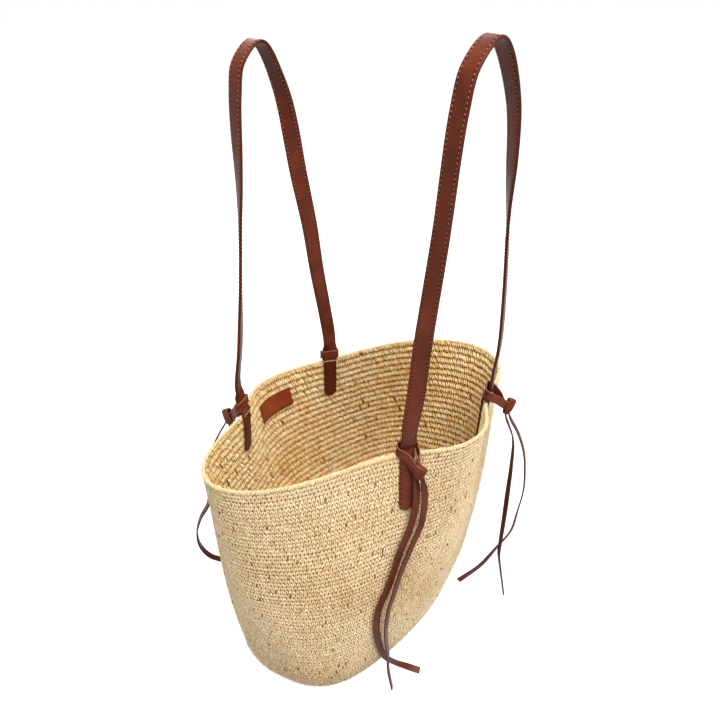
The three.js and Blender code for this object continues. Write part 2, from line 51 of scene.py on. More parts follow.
# The basket's body
BODY_HEIGHT = 0.283
WALL = 0.004
HALF_WALL = WALL / 2
MOUTH_HALF = (0.163, 0.1045)
MOUTH_SHEAR = -0.36
MOUTH_LOBES = 0.1
MOUTH_LOBE_PHASE = 0.2
RIM_WAVE = 0.004
RIM_RIPPLE = 0.003
RIM_RIPPLE_PHASE = 0.72
FOOTPRINT_HALF = (0.1655, 0.0845)
FOOTPRINT_POWER = 2.66
FOOTPRINT_TURN = math.radians(11)
WALL_TAPER = 0.39
WALL_BELLY = 0.0125
BELLY_DROP = 1.2
FOOT_HEIGHT = 0.06
SOLE_INSET = 0.0455
SOLE_CORE = 0.07  # half the length of the first row, in the middle of the sole
EDGING_RADIUS = 0.0023
GAP = 0.0004
WALL_GAP = 0.0005
EDGING_TOP = GAP + 2 * EDGING_RADIUS

# Crochet. An open stitch is a thin dark strand, painted shade that shows as a gap.
ROW = 0.0044
STRAND = 0.00185
STITCH_LEANS = (0.78, -0.5)  # the two strands of a V, in strand widths
STRAND_SINK = 0.0012
SOLE_SINK = 0.0012
SOLE_FROM = 1.9
OPEN_SHARE = 0.005
OPEN_WHERE_LOOSE = 0.015
RIB = 0.009
INNER_STRAND = 0.0024
INNER_OPEN_SHARE = 0.008
# The long stitches of a rib and the short ones in its groove, whose lower tone is painted shade
RIB_LAYERS = (
    {"place": 0.42, "height": 0.98, "lean": -0.85, "sink": 0.0019, "bulge": 0.0011, "tone": 0.68},
    {"place": 0.92, "height": 0.4, "lean": 0.7, "sink": 0.0024, "bulge": 0.0003, "tone": 0.38},
)
CHAIN = 0.0025
CHAIN_STRAND = 0.0034
# The two rows of the braid on each side of the rim: rise, reach and slope off the vertical
CHAIN_ROWS = ((0.0007, 0.0007, 0.5), (-0.0009, 0.0014, 1.35))
BACKING_DEPTH = 0.0016
MOST_TRIANGLES = 190000  # of one piece

# Leather
PLY = 0.0013
PLY_OFF = (GAP + PLY) / 2  # from the strap's middle to a ply's
ARCH_CLOSING = 0.78  # the plies' share of that over the arch, where they are glued
STRAP_WIDTH = 0.0164
TAB_WIDTH = 0.015
BEND_HEIGHT = BODY_HEIGHT + 0.022
BEND_BLEND = 0.006  # a distance below and above the bend's height; the two points made from it are not used
BAND_CROWN = 0.00008
TIE_WIDTH = 0.0092
TIE_THICKNESS = 0.0015
RING_PLAY = 0.0013
RING_BACK = -0.0037
KNOT_HALF_DEPTH = 0.0031
TAIL_WIDTH = 0.007
TAIL_THICKNESS = 0.0017
SEAM_PITCH = 0.0038
SEAM_INSET = 0.0021
TAB_SEAM_PITCH = 0.0054
TAB_SEAM_INSET = 0.0017
TAB_SEAM_START = 0.005
RIM_STITCHES = 6
RIM_STITCH_PITCH = 0.0026
LABEL_HEIGHT = 0.0252
LABEL_THICKNESS = 0.0012
LABEL_DROP = 0.031
LABEL_ANGLES = (math.radians(78), math.radians(106))
LABEL_GRID = (24, 8)

# Handles. Their left and right halves have an outline, as shares of the half span and of the rise, and the
# strap's turn out of the rim's line in degrees, by the distance from the bend.
HANDLES = {
    "front": {
        "ends": ("front_left", "front_right"), "bend_out": 0.0042, "rise": 0.334,
        "lean": math.radians(1.6), "sway": -0.0022,
        "arches": (
            [(1, 0), (1, 0.045), (0.93, 0.14), (0.865, 0.3), (0.685, 0.58), (0.54, 0.86), (0.4, 0.95)],
            [(1, 0), (1, 0.045), (1.045, 0.14), (0.968, 0.3), (0.745, 0.58), (0.505, 0.86)],
        ),
        "twists": (
            [(0, 80), (0.04, 52), (0.08, 28), (0.13, 14), (0.21, 3), (0.4, 0)],
            [(0, 66), (0.08, 65), (0.17, 60), (0.2, 48), (0.235, 29), (0.28, 19), (0.33, 4), (0.4, 0)],
        ),
    },
    "back": {
        "ends": ("back_left", "back_right"), "bend_out": 0.0012, "rise": 0.320,
        "lean": math.radians(2), "sway": 0,
        "arches": (
            [(1, 0), (1.002, 0.045), (0.885, 0.15), (0.755, 0.31), (0.55, 0.62), (0.435, 0.88), (0.33, 0.955)],
            [(1, 0), (1, 0.045), (0.93, 0.15), (0.805, 0.31), (0.715, 0.46), (0.57, 0.62), (0.335, 0.88)],
        ),
        "twists": (
            [(0, 50), (0.07, 48), (0.11, 40), (0.175, 34), (0.215, 20), (0.245, 9), (0.29, 2), (0.4, 0)],
            [(0, 88), (0.06, 87), (0.12, 81), (0.175, 72), (0.215, 55), (0.255, 32), (0.3, 11), (0.4, 0)],
        ),
    },
}

# Handle ends. Each has its angle round the bag in degrees, its outer and inner tabs' sideways lean in
# degrees and length, the knot's place and the way the tie pulls it (both along the rim, out and up), the
# knot's width and half height, and how high the tie's turn stands at the back of the neck and how late it
# drops to the knot.
ENDS = {
    "front_left": {
        "angle": 232, "tabs": {1: (4, 0.055), -1: (0, 0.052)}, "knot": (0.008, 0.0149, -0.011),
        "pull": (0.64, 0.56, -0.52), "knot_size": (0.0108, 0.0074), "ring": (0.0112, 1.8),
    },
    "front_right": {
        "angle": 308.5, "tabs": {1: (14, 0.052), -1: (0, 0.052)}, "knot": (0.004, 0.0243, -0.005),
        "pull": (0.35, 0.83, -0.42), "knot_size": (0.0078, 0.0092), "ring": (0.0165, 1.15),
    },
    "back_right": {
        "angle": 54.6, "tabs": {1: (0, 0.053), -1: (6, 0.051)}, "knot": (-0.006, 0.0143, -0.008),
        "pull": (-0.45, 0.72, -0.53), "knot_size": (0.0090, 0.0078), "ring": (0.0112, 2.0),
    },
    "back_left": {
        "angle": 128.5, "tabs": {1: (0, 0.053), -1: (13, 0.041)}, "knot": (-0.002, 0.0185, -0.0095),
        "pull": (-0.2, 0.85, -0.5), "knot_size": (0.0084, 0.0095), "ring": (0.0146, 1.2),
    },
}

# The ties' tails: the directions of the width in degrees, and the path in the bag's frame in millimetres
TAILS = {
    "front_left_1": ((-28, -28, -28), [
        (-35, -98, 268.2), (-38, -102, 246), (-47, -104, 218), (-61, -104, 194), (-72, -104, 167),
        (-81, -103, 147), (-88, -102, 132), (-91, -102, 110), (-87, -102, 79), (-76, -102, 44),
        (-63, -106, 24), (-53, -114, 15), (-45, -126, 11),
    ]),
    "front_left_2": ((-28, 0, 40), [
        (-34.2, -105, 268.5), (-33, -108, 246), (-40, -111, 220), (-52, -111, 201), (-63, -111, 183),
        (-71, -111, 167), (-77, -111, 150), (-83, -111, 136), (-86, -111, 117), (-84, -109, 90),
        (-80, -109, 60), (-82, -112, 38), (-83, -119, 14),
    ]),
    "front_right_1": ((30, 75, 44), [
        (108, -101, 268), (117, -109, 234), (119, -111, 194), (120, -111, 159), (119, -112, 118),
        (117, -113, 83), (114, -115, 61), (113, -121, 38), (111, -127, 21), (106, -134, 10),
    ]),
    "front_right_2": ((30, 20, -45), [
        (109, -105, 268), (123, -112, 238), (127, -119, 216), (130, -122, 193), (132, -124, 159),
        (130, -122, 126), (127, -119, 93), (119, -108, 63), (104, -98, 36), (85, -81, 10),
    ]),
    "back_right_1": ((-28, -28, -28), [
        (48, 94.5, 270.6), (48, 102, 246), (55, 105, 218), (64, 106, 190), (72, 107, 160), (80, 107, 135),
        (84, 107, 110), (82, 107, 80), (74, 105, 50), (66, 105, 25), (58, 112, 12),
    ]),
    "back_right_2": ((-28, 10, 30), [
        (43, 92.5, 270.2), (38, 105, 246), (33, 109, 215), (30, 112, 180), (32, 113, 145), (38, 113, 110),
        (42, 111, 75), (40, 110, 40), (34, 113, 14),
    ]),
    "back_left_1": ((30, 75, 30), [
        (-104, 104, 265), (-113, 112, 244), (-120, 119, 220), (-124, 124, 185), (-127, 127, 149),
        (-135, 136, 125), (-140, 141, 101), (-139, 140, 79), (-132, 133, 62), (-118, 120, 52),
    ]),
    "back_left_2": ((30, 20, 0), [
        (-99, 102, 265.4), (-98, 113, 235), (-93, 117, 205), (-89, 118, 170), (-86, 118, 135),
        (-84, 116, 100), (-80, 114, 65), (-74, 112, 35), (-70, 115, 14),
    ]),
}

# Studio
FLOOR_SHADE = 0.42
FLOOR_GLOW = 0.83
WORLD_LIGHT = 0.43
LAMP_SIZE = 1.5
LAMP_TARGET = (0, 0, 0.2)
LAMPS = {
    "key_light": ((-0.28, -0.95, 2.35), 102),
    "back_fill": ((0.9, 1.5, 1.3), 22),
    "left_fill": ((-1.6, -0.3, 1.2), 3),
}
CAMERA_PLACE = (-0.419, -0.397, 0.7003)
CAMERA_AZIMUTH = math.radians(45.88)
CAMERA_FALL = math.radians(32)
CAMERA_SENSOR = 36
CAMERA_LENS = 34.15


# Vectors and lines

UP = np.array([0, 0, 1.0])


def unit(v):
    return v / np.maximum(np.linalg.norm(v, axis=-1, keepdims=True), 1e-9)


def square_to(vectors, axes):
    """The vectors with their part along the axes taken out."""
    return unit(vectors - axes * (vectors * axes).sum(1, keepdims=True))


def flat_way(turn):
    return np.stack([np.cos(turn), np.sin(turn), 0 * turn], -1)


def smooth(x):
    x = np.clip(x, 0, 1)
    return x * x * (3 - 2 * x)


def run(points):
    """The distance along a line at each of its points."""
    return np.concatenate([[0], np.cumsum(np.linalg.norm(np.diff(points, axis=0), axis=1))])


def resample(at, lengths, table):
    return np.stack([np.interp(at, lengths, table[:, i]) for i in range(3)], -1)


def between(t, start, end, a, b):
    return (end - t) / (end - start) * a + (t - start) / (end - start) * b


def spline(points, count, closed=False):
    """A centripetal Catmull-Rom curve through the points: even places, unit tangents and its length."""
    pts = np.asarray(points, float)
    if closed:
        pts = np.concatenate([pts[-1:], pts, pts[:2]])
    else:
        pts = np.concatenate([[2 * pts[0] - pts[1]], pts, [2 * pts[-1] - pts[-2]]])
    fine = []
    for i in range(1, len(pts) - 2):
        p = pts[i - 1:i + 3]
        steps = np.maximum(1e-9, np.linalg.norm(np.diff(p, axis=0), axis=1)) ** 0.5
        k = np.concatenate([[0], np.cumsum(steps)])
        t = np.linspace(k[1], k[2], 41)[:-1, None]
        a = [between(t, k[j], k[j + 1], p[j], p[j + 1]) for j in range(3)]
        b = [between(t, k[j], k[j + 2], a[j], a[j + 1]) for j in range(2)]
        fine.append(between(t, k[1], k[2], *b))
    fine = np.concatenate(fine + [pts[-2:-1]])
    lengths = run(fine)
    places = resample(np.linspace(0, lengths[-1], count + closed)[:count], lengths, fine)
    tangents = np.roll(places, -1, 0) - np.roll(places, 1, 0) if closed else np.gradient(places, axis=0)
    return places, unit(tangents), lengths[-1]


# The basket's surface

def mouth_point(a):
    c, s = np.cos(a), np.sin(a)
    ellipse = 1 / np.hypot(c / MOUTH_HALF[0], s / MOUTH_HALF[1])
    radius = ellipse * (1 + MOUTH_LOBES * np.cos(4 * a + MOUTH_LOBE_PHASE))
    wave = RIM_WAVE * np.sin(2 * a) + RIM_RIPPLE * np.sin(4 * a - RIM_RIPPLE_PHASE)
    return np.stack([radius * (c + MOUTH_SHEAR * s), radius * s, BODY_HEIGHT + wave], -1)


def footprint_point(a, inset):
    c = np.abs(np.cos(a - FOOTPRINT_TURN) / FOOTPRINT_HALF[0]) ** FOOTPRINT_POWER
    s = np.abs(np.sin(a - FOOTPRINT_TURN) / FOOTPRINT_HALF[1]) ** FOOTPRINT_POWER
    radius = (c + s) ** (-1 / FOOTPRINT_POWER) - inset
    return np.stack([radius * np.cos(a), radius * np.sin(a), 0 * a], -1)


def wall_point(a, fall):
    """The wall's outside, at an angle and at a share of the way down from the rim."""
    a, fall = np.broadcast_arrays(np.asarray(a, float), np.asarray(fall, float))
    mouth = mouth_point(a)
    share = (fall + WALL_TAPER * fall * (1 - fall))[..., None]
    point = mouth * (1 - share) + footprint_point(a, 0) * share
    flat = point[..., :2]
    length = np.linalg.norm(flat, axis=-1, keepdims=True)
    belly = WALL_BELLY * np.sin(np.pi * np.maximum(0, fall) ** BELLY_DROP)
    flat = flat * (1 + belly[..., None] / length)
    return np.concatenate([flat, (mouth[..., 2] * (1 - fall))[..., None]], -1)


def outward(a, fall):
    step = 0.002
    along = wall_point(a + step, fall) - wall_point(a - step, fall)
    return unit(np.stack([along[..., 1], -along[..., 0], 0 * along[..., 0]], -1))


def shell_points(a, t, inset):
    """Places on the basket: t is 0 at the rim, 1 where the foot starts, 2 at the sole's edge, 3 inside it."""
    a, t = np.broadcast_arrays(np.asarray(a, float), np.asarray(t, float))
    foot_start = 1 - FOOT_HEIGHT / mouth_point(a)[..., 2]
    fall = np.clip(t, 0, 1) * foot_start
    out = outward(a, fall)
    wall = wall_point(a, fall)
    turn = (np.clip(t, 1, 2) - 1) * np.pi / 2
    share = (1 - np.cos(turn))[..., None]
    foot = wall * (1 - share) + footprint_point(a, SOLE_INSET) * share
    foot[..., 2] = FOOT_HEIGHT * (1 - np.sin(turn)) + inset * np.sin(turn)
    foot = foot - out * (inset * np.cos(turn))[..., None]
    axis = np.array([math.cos(FOOTPRINT_TURN), math.sin(FOOTPRINT_TURN), 0])
    reach = np.clip((foot * axis).sum(-1), -SOLE_CORE, SOLE_CORE)
    core = reach[..., None] * axis + np.array([0, 0, inset])
    share = (np.clip(t, 2, 3) - 2)[..., None]
    return np.where((t <= 1)[..., None], wall - out * inset, foot * (1 - share) + core * share)


class Skin:
    """One face of the basket as a table, with unit directions round it, down it and off it."""

    def __init__(self, inset, side):
        over_rim = 0.012
        self.angles = np.linspace(0, 2 * np.pi, 721)
        self.ts = np.concatenate(
            [np.linspace(-over_rim, 1, 90), np.linspace(1, 2, 46)[1:], np.linspace(2, 2.97, 20)[1:]]
        )
        grid_t, grid_a = np.meshgrid(self.ts, self.angles, indexing="ij")
        self.points = shell_points(grid_a, np.maximum(grid_t, 0), inset)
        self.points[0] = 2 * self.points[0] - shell_points(self.angles, over_rim, inset)
        along = np.gradient(self.points[:, :-1], axis=1)
        along[:, 0] = self.points[:, 1] - self.points[:, -2]
        self.along = unit(np.concatenate([along, along[:, :1]], 1))
        self.down = unit(np.gradient(self.points, axis=0))
        self.off = unit(np.cross(self.down, self.along)) * side
        steps = np.linalg.norm(np.diff(self.points, axis=0), axis=-1).mean(1)
        self.lengths = np.concatenate([[0], np.cumsum(steps)])

    def at(self, table, angles, t):
        row = np.interp(t, self.ts, np.arange(len(self.ts)))
        above = min(int(row), len(self.ts) - 2)
        share = row - above
        return resample(angles, self.angles, table[above] * (1 - share) + table[above + 1] * share)

    def rows(self, pitch, spacing, places):
        """Row by row, and for each place in a row: its index, its t, and the spacing, middles, directions and
        height of its stitches."""
        count = int(self.lengths[-1] / pitch)
        for row in range(count):
            for index, place in enumerate(places):
                shares = np.array((place, 0, 1))
                ts = np.interp((row + shares) * self.lengths[-1] / count, self.lengths, self.ts)
                lengths = run(self.at(self.points, self.angles, ts[0]))
                n = max(6, 2 * int(round(lengths[-1] / spacing / 2)))
                at = ((np.arange(n) + rng.random() * 2) / n * lengths[-1]) % lengths[-1]
                angles = np.interp(at, lengths, self.angles)
                centre, high, low = (self.at(self.points, angles, t) for t in ts)
                tables = (self.along, self.down, self.off)
                directions = [unit(self.at(table, angles, ts[0])) for table in tables]
                yield index, ts[0], lengths[-1] / n, centre, directions, np.linalg.norm(low - high, axis=1)


# Meshes

def add_object(name, data):
    made = bpy.data.objects.new(name, data)
    bpy.context.scene.collection.objects.link(made)
    return made


def mesh_object(name, points, faces, uv=None, values=None):
    """A smooth mesh of triangles. uv and values, which are named floats, are per point."""
    mesh = bpy.data.meshes.new(name)
    faces = np.asarray(faces, np.int32)
    count = len(faces)
    mesh.vertices.add(len(points))
    mesh.vertices.foreach_set("co", np.asarray(points, np.float32).ravel())
    mesh.loops.add(count * 3)
    mesh.loops.foreach_set("vertex_index", faces.ravel())
    mesh.polygons.add(count)
    mesh.polygons.foreach_set("loop_start", np.arange(0, count * 3, 3, dtype=np.int32))
    mesh.update(calc_edges=True)
    mesh.polygons.foreach_set("use_smooth", np.ones(count, bool))
    if uv is not None:
        layer = mesh.uv_layers.new(name="UVMap")
        layer.data.foreach_set("uv", np.asarray(uv, np.float32)[faces.ravel()].ravel())
    for key, numbers in (values or {}).items():
        attribute = mesh.attributes.new(key, "FLOAT", "POINT")
        attribute.data.foreach_set("value", np.asarray(numbers, np.float32))
    return add_object(name, mesh)


def triangles(groups):
    """Groups of three arrays of corners each, as one list of triangles."""
    return np.concatenate([np.stack(np.broadcast_arrays(*corners), -1).reshape(-1, 3) for corners in groups])


def tube_faces(rings, columns, closed=False):
    """Triangles of a tube of rings. An open tube's ends close on two more points, after the rings."""
    side = np.arange(columns)
    nxt = (side + 1) % columns
    here = np.arange(rings if closed else rings - 1)[:, None] * columns
    there = (here + columns) % (rings * columns)
    faces = [(here + side, here + nxt, there + nxt), (here + side, there + nxt, there + side)]
    if not closed:
        first, base = rings * columns, (rings - 1) * columns
        faces += [(first, nxt, side), (first + 1, base + side, base + nxt)]
    return triangles(faces)


def turned_out(points, faces):
    """The faces of a closed mesh, turned over if they face inwards."""
    a, b, c = (points[faces[:, i]] for i in range(3))
    volume = np.einsum("ij,ij->i", a, np.cross(b, c)).sum()
    return faces[:, ::-1] if volume < 0 else faces


def strand_shape(rings, sides=4):
    """A spindle from tip to tip: shares along it and round it, and its triangles."""
    along = np.concatenate([np.repeat(rings, sides), [0, 1]])
    around = np.concatenate([np.tile(np.arange(sides) / sides, len(rings)), [0, 0]])
    return along, around, tube_faces(len(rings), sides)


LONG_STRAND = strand_shape((0.17, 0.5, 0.83))
SHORT_STRAND = strand_shape((0.26, 0.74))


def strands(centre, directions, width, height, lean, lift, bulge, fat=0.56, thick=0.0009, tone=None,
            shape=LONG_STRAND):
    """Many slanted strands, each in the frame of its directions along, down and off the surface. Returns
    points, triangles, UVs and values, for mesh_object."""
    shape_along, shape_around, shape_faces = shape
    n, k = len(centre), len(shape_along)
    width, height, lean, lift, bulge = (
        np.broadcast_to(value, n)[:, None] for value in (width, height, lean, lift, bulge)
    )
    turn = 2 * np.pi * shape_around
    share = shape_along - 0.5
    arch = np.sin(np.pi * shape_along)
    u = (lean * share + np.cos(turn) * arch ** 0.5 * fat) * width
    v = share * height
    w = lift + bulge * arch + np.sin(turn) * arch ** 0.5 * thick
    points = centre[:, None] + sum(way[:, None] * reach[..., None] for way, reach in zip(directions, (u, v, w)))
    # Triangles face outwards whichever way the three directions turn.
    faces = shape_faces[None] + (np.arange(n) * k)[:, None, None]
    flip = np.einsum("ij,ij->i", np.cross(*directions[:2]), directions[2]) < 0
    faces[flip] = faces[flip][:, :, ::-1]
    if tone is None:
        tone = rng.random(n)
    shift = rng.random((2, n, 1)) * 40
    uv = np.stack([shape_around + shift[0], shape_along * 1.5 + shift[1]], -1)
    # depth grows towards a strand's tips; the raffia uses it to paint shade in the grooves.
    values = {"tone": np.repeat(tone, k), "depth": np.tile(1 - arch, n)}
    return points.reshape(-1, 3), faces.reshape(-1, 3), uv.reshape(-1, 2), values


def join_parts(parts):
    points, faces, uv, values = zip(*parts)
    bases = np.cumsum([0] + [len(p) for p in points])
    faces = [f + base for f, base in zip(faces, bases)]
    values = {key: np.concatenate([v[key] for v in values]) for key in values[0]}
    return np.concatenate(points), np.concatenate(faces), np.concatenate(uv), values


def shade_by_angle(made, degrees):
    made.select_set(True)
    bpy.context.view_layer.objects.active = made
    bpy.ops.object.shade_smooth_by_angle(angle=math.radians(degrees))
    made.select_set(False)


# Crochet

def jitter(size, count):
    return rng.normal(0, size, count)


def soft_noise(points, scale, seed):
    """Smooth values from about -1 to 1, from a few fixed waves through space."""
    waves = np.random.default_rng(seed)
    total = 0
    for _ in range(6):
        direction = waves.normal(size=3)
        direction *= scale * waves.uniform(0.6, 1.6) / np.linalg.norm(direction)
        total = total + np.sin(points @ direction + waves.uniform(0, 2 * np.pi))
    return total / 3


def shifted(centre, directions, *sizes):
    shift = rng.normal(0, 1, (len(centre), 2)) * sizes
    return centre + directions[0] * shift[:, :1] + directions[1] * shift[:, 1:]


def outer_rows(skin):
    """Rows of stitches, each a pair of strands that lean together like a V."""
    for _, t, spacing, centre, directions, height in skin.rows(ROW, STRAND, (0.5,)):
        n = len(centre)
        slant = np.where(np.arange(n) % 2, *STITCH_LEANS)
        lean = slant + 0.15 * soft_noise(centre, 25, 3) + jitter(0.16, n)
        loose = soft_noise(centre, 60, 5)
        width = spacing * (1 + jitter(0.08, n))
        centre = shifted(centre, directions, 0.00012, 0.00022)
        lift = -STRAND_SINK - (SOLE_SINK if t > SOLE_FROM else 0) + jitter(0.00016, n)
        bulge = 0.00055 + 0.0001 * loose + jitter(0.0001, n)
        gap = rng.random(n) < OPEN_SHARE + OPEN_WHERE_LOOSE * (loose > 0.4)
        width = np.where(gap, width * 0.36, width)
        lean = np.where(gap, 1.5 * np.sign(slant), lean)
        tone = np.clip(0.62 + 0.09 * soft_noise(centre, 40, 9) + jitter(0.12, n), 0.22, 1)
        # Painted shade: an open stitch takes tone 0, the ramp's darkest colour.
        tone = np.where(gap, 0, tone)
        length = height * (1.34 + jitter(0.08, n))
        yield strands(centre, directions, width, length, lean, lift, bulge, 0.53, tone=tone, shape=SHORT_STRAND)


def inner_rows(skin):
    """Ribs of long slanted stitches, with a lower row of short ones in each groove."""
    places = [layer["place"] for layer in RIB_LAYERS]
    for index, _, spacing, centre, directions, height in skin.rows(RIB, INNER_STRAND, places):
        layer = RIB_LAYERS[index]
        n = len(centre)
        lean = layer["lean"] + jitter(0.22, n)
        width = spacing * (1 + jitter(0.12, n))
        centre = shifted(centre, directions, 0.0002, 0.0005)
        lift = -layer["sink"] + jitter(0.00012, n)
        bulge = layer["bulge"] + jitter(0.0001, n)
        # The groove row's lower tone is painted shade in the groove.
        tone = np.clip(layer["tone"] + 0.1 * soft_noise(centre, 40, 19) + jitter(0.15, n), 0.1, 1)
        gap = rng.random(n) < INNER_OPEN_SHARE
        # Painted shade: an open stitch takes tone 0, the ramp's darkest colour.
        tone, width = np.where(gap, 0, tone), np.where(gap, width * 0.4, width)
        length = height * layer["height"] * (1.08 + jitter(0.09, n))
        yield strands(centre, directions, width, length, lean, lift, bulge, 0.47, 0.001, tone)


def rim_chain():
    """The last row: a braid of leaning strands over the top of the wall."""
    angles = np.linspace(0, 2 * np.pi, 1441)
    line = wall_point(angles, 0) - outward(angles, 0) * HALF_WALL
    line[:, 2] += GAP + EDGING_RADIUS - 0.0008
    lengths = run(line)
    n = int(lengths[-1] / CHAIN)
    parts = []
    for side in (1, -1):
        for level, (rise, reach, slope) in enumerate(CHAIN_ROWS):
            at = ((np.arange(n) + 0.25 * side + 0.5 * level) / n * lengths[-1]) % lengths[-1]
            a = np.interp(at, lengths, angles)
            out = outward(a, 0)
            along = np.stack([-out[:, 1], out[:, 0], 0 * a], -1)
            # A strand runs along the rim and leans down over its edge.
            off = unit(out * side * math.sin(slope) + UP * math.cos(slope))
            down = np.cross(off, along)
            down = down * np.sign(np.einsum("ij,ij->i", down, out * side))[:, None]
            centre = resample(a, angles, line) + out * side * reach + UP * rise
            tone = np.clip(0.6 + jitter(0.14, n), 0, 1)
            lean = -0.6 + jitter(0.1, n)
            directions = (along, down, off)
            parts.append(
                strands(centre, directions, CHAIN * 0.9, CHAIN_STRAND, lean, -0.0009, 0.0006, 0.52, tone=tone)
            )
    return join_parts(parts)


def backing():
    """The closed shell that shows as shade between the strands."""
    columns = 240
    angles = np.arange(columns) * 2 * np.pi / columns
    ts = np.concatenate([np.linspace(0.0, 1, 40), np.linspace(1, 2, 22)[1:], [2.3, 2.6, 2.9]])
    rings = [shell_points(angles, t, BACKING_DEPTH) for t in ts[::-1]]
    rings += [shell_points(angles, t, WALL - BACKING_DEPTH) for t in ts]
    points = np.concatenate([*rings, [[0, 0, BACKING_DEPTH]], [[0, 0, WALL - BACKING_DEPTH]]])
    return points, tube_faces(len(rings), columns)


# Leather

def band_section(a, b):
    """A band's outline across, from its half width and half thickness."""
    c = min(b * 0.9, 0.0006)
    d = 0.3 * c
    corner = [(-a, -b + c), (-a + d, -b + d), (-a + c, -b)]
    half = corner + [(-a * 0.5, -b - BAND_CROWN * 0.8), (0, -b - BAND_CROWN)]
    half += [(-x, y) for x, y in half[3::-1]]
    return np.array(half + [(-x, -y) for x, y in half])


def band(name, places, across, normals, widths, thickness, closed=False):
    """A flat leather band with rounded edges. UV runs across it and along it, in centimetres."""
    count = len(places)
    widths = np.broadcast_to(widths, (count,))
    sections = np.stack([band_section(width / 2, thickness / 2) for width in widths])
    x, y = sections[..., 0], sections[..., 1]
    points = (places[:, None] + across[:, None] * x[..., None] + normals[:, None] * y[..., None]).reshape(-1, 3)
    along = run(places) * 100
    uv = np.stack([x * 100, np.broadcast_to(along[:, None], x.shape)], -1).reshape(-1, 2)
    edge = (np.abs(y) < thickness / 2 * 0.72) & (np.abs(x) > widths[:, None] / 2 * 0.9)
    edge = edge.reshape(-1).astype(float)
    if not closed:
        points = np.concatenate([points, places[:1], places[-1:]])
        uv = np.concatenate([uv, [[0, 0]], [[0, along[-1]]]])
        edge = np.concatenate([edge, [1, 1]])
    faces = turned_out(points, tube_faces(count, x.shape[1], closed))
    made = mesh_object(name, points, faces, uv, {"edge": edge})
    shade_by_angle(made, 50)
    return made


def place_ends():
    """Each handle end's angle, its place on the rim with its directions, and the place of its bend."""
    places = {}
    for name, end in ENDS.items():
        angle = math.radians(end["angle"])
        out = outward(angle, 0)
        rim = wall_point(angle, 0) - out * HALF_WALL
        places[name] = {"angle": angle, "out": out, "along": np.array([-out[1], out[0], 0]), "rim": rim}
    for handle in HANDLES.values():
        pair = [places[name] for name in handle["ends"]]
        mean_y = (pair[0]["rim"][1] + pair[1]["rim"][1]) / 2
        bend_y = mean_y + np.sign(mean_y) * handle["bend_out"]
        for place in pair:
            place["bend"] = np.array([place["rim"][0], bend_y, BEND_HEIGHT])
    return places


def by_wall(angle, out, rise):
    """A place by its angle, its distance out from the wall's middle and its height over the rim."""
    fall = -rise / mouth_point(angle)[..., 2]
    return wall_point(angle, fall) + outward(angle, fall) * np.asarray(out - HALF_WALL)[..., None]


def neck_middle(place, rise):
    """The neck's middle at a height over the rim, moving over from the rim to the bend."""
    top = BEND_HEIGHT - place["rim"][2]
    share = float(smooth((rise - EDGING_TOP) / (top - EDGING_TOP)))
    middle = place["rim"] * (1 - share) + place["bend"] * share
    middle[2] = place["rim"][2] + rise
    return middle


def by_neck(place, point):
    shift, off, rise = point
    return neck_middle(place, rise) + place["along"] * shift + place["out"] * off


def arch_frames(handle, places):
    """The strap's middle line over the arch, with its directions across and towards the arch's inside."""
    left, right = (places[name]["bend"] for name in handle["ends"])
    centre_x, half_span = (left[0] + right[0]) / 2, (right[0] - left[0]) / 2
    left_arch, right_arch = handle["arches"]
    shares = [(-x, z) for x, z in left_arch] + [(0, 1)] + right_arch[::-1]
    x, z = np.array(shares, float).T
    side, rise = np.sign(left[1]), z * handle["rise"]
    points = np.stack([
        centre_x + x * half_span + handle["sway"] * z * z, left[1] + side * rise * math.sin(handle["lean"]),
        BEND_HEIGHT + rise * math.cos(handle["lean"]),
    ], -1)
    middle, tangent, length = spline(points, 300)
    at = np.linspace(0, 1, 300)
    from_end = np.minimum(at, 1 - at) * length
    twists = [np.interp(from_end, *zip(*twist)) for twist in handle["twists"]]
    turn = -np.pi / 2 + side * np.sign(at - 0.5) * np.radians(np.where(at < 0.5, *twists))
    across = square_to(flat_way(turn), tangent)
    return middle, across, np.cross(tangent, across)


def end_frames(place, face, sign, tab):
    """One ply below the bend, from the tab's tip upwards: its middle line, directions and width."""
    lean, tab_length = tab
    slope = math.tan(math.radians(lean))
    half_tab = TAB_WIDTH / 2
    step = np.array([0.0001, 0.0004, 0.001, 0.002, 0.0035, 0.0055, half_tab])
    tip = 2 * np.sqrt(np.maximum(1e-9, half_tab ** 2 - (half_tab - step) ** 2))
    # The thread draws the tab's edges in a little at each stitch.
    rise = np.arange(-tab_length + half_tab + 0.0005, -0.001, TAB_SEAM_PITCH / 6)
    drawn_in = 0.0011 * np.cos(np.pi * (rise + tab_length - TAB_SEAM_START) / TAB_SEAM_PITCH) ** 8
    widths = [*tip, *(TAB_WIDTH - drawn_in)]
    rise = np.concatenate([step - tab_length, rise])
    per_radian = np.linalg.norm(wall_point(place["angle"] + 0.01, 0) - wall_point(place["angle"], 0)) / 0.01
    wall_off = HALF_WALL + WALL_GAP + PLY / 2
    middle = [*by_wall(place["angle"] - rise * slope / per_radian, face * wall_off, rise)]
    # Over the edging the ply stands further off, and above it the two plies close on each other.
    edging_off = EDGING_RADIUS + WALL_GAP + GAP + PLY / 2
    top = BEND_HEIGHT - place["rim"][2]
    for rise in np.linspace(0, top - 0.0012, 14):
        closing = smooth((rise - 0.6 * EDGING_TOP) / (0.4 * EDGING_TOP + 0.006))
        off = edging_off * (1 - closing) + PLY_OFF * closing
        if rise < EDGING_TOP / 2:
            share = smooth(rise / (EDGING_TOP / 2))
            off = wall_off * (1 - share) + edging_off * share
        middle.append(neck_middle(place, rise) + place["out"] * off * face)
        widths.append(TAB_WIDTH + (STRAP_WIDTH - TAB_WIDTH) * float(smooth(rise / top)))
    middle = np.array(middle)
    tangent = unit(np.gradient(middle, axis=0))
    across = square_to(np.tile(sign * place["along"], (len(middle), 1)), tangent)
    return middle, across, np.cross(tangent, across), np.array(widths)


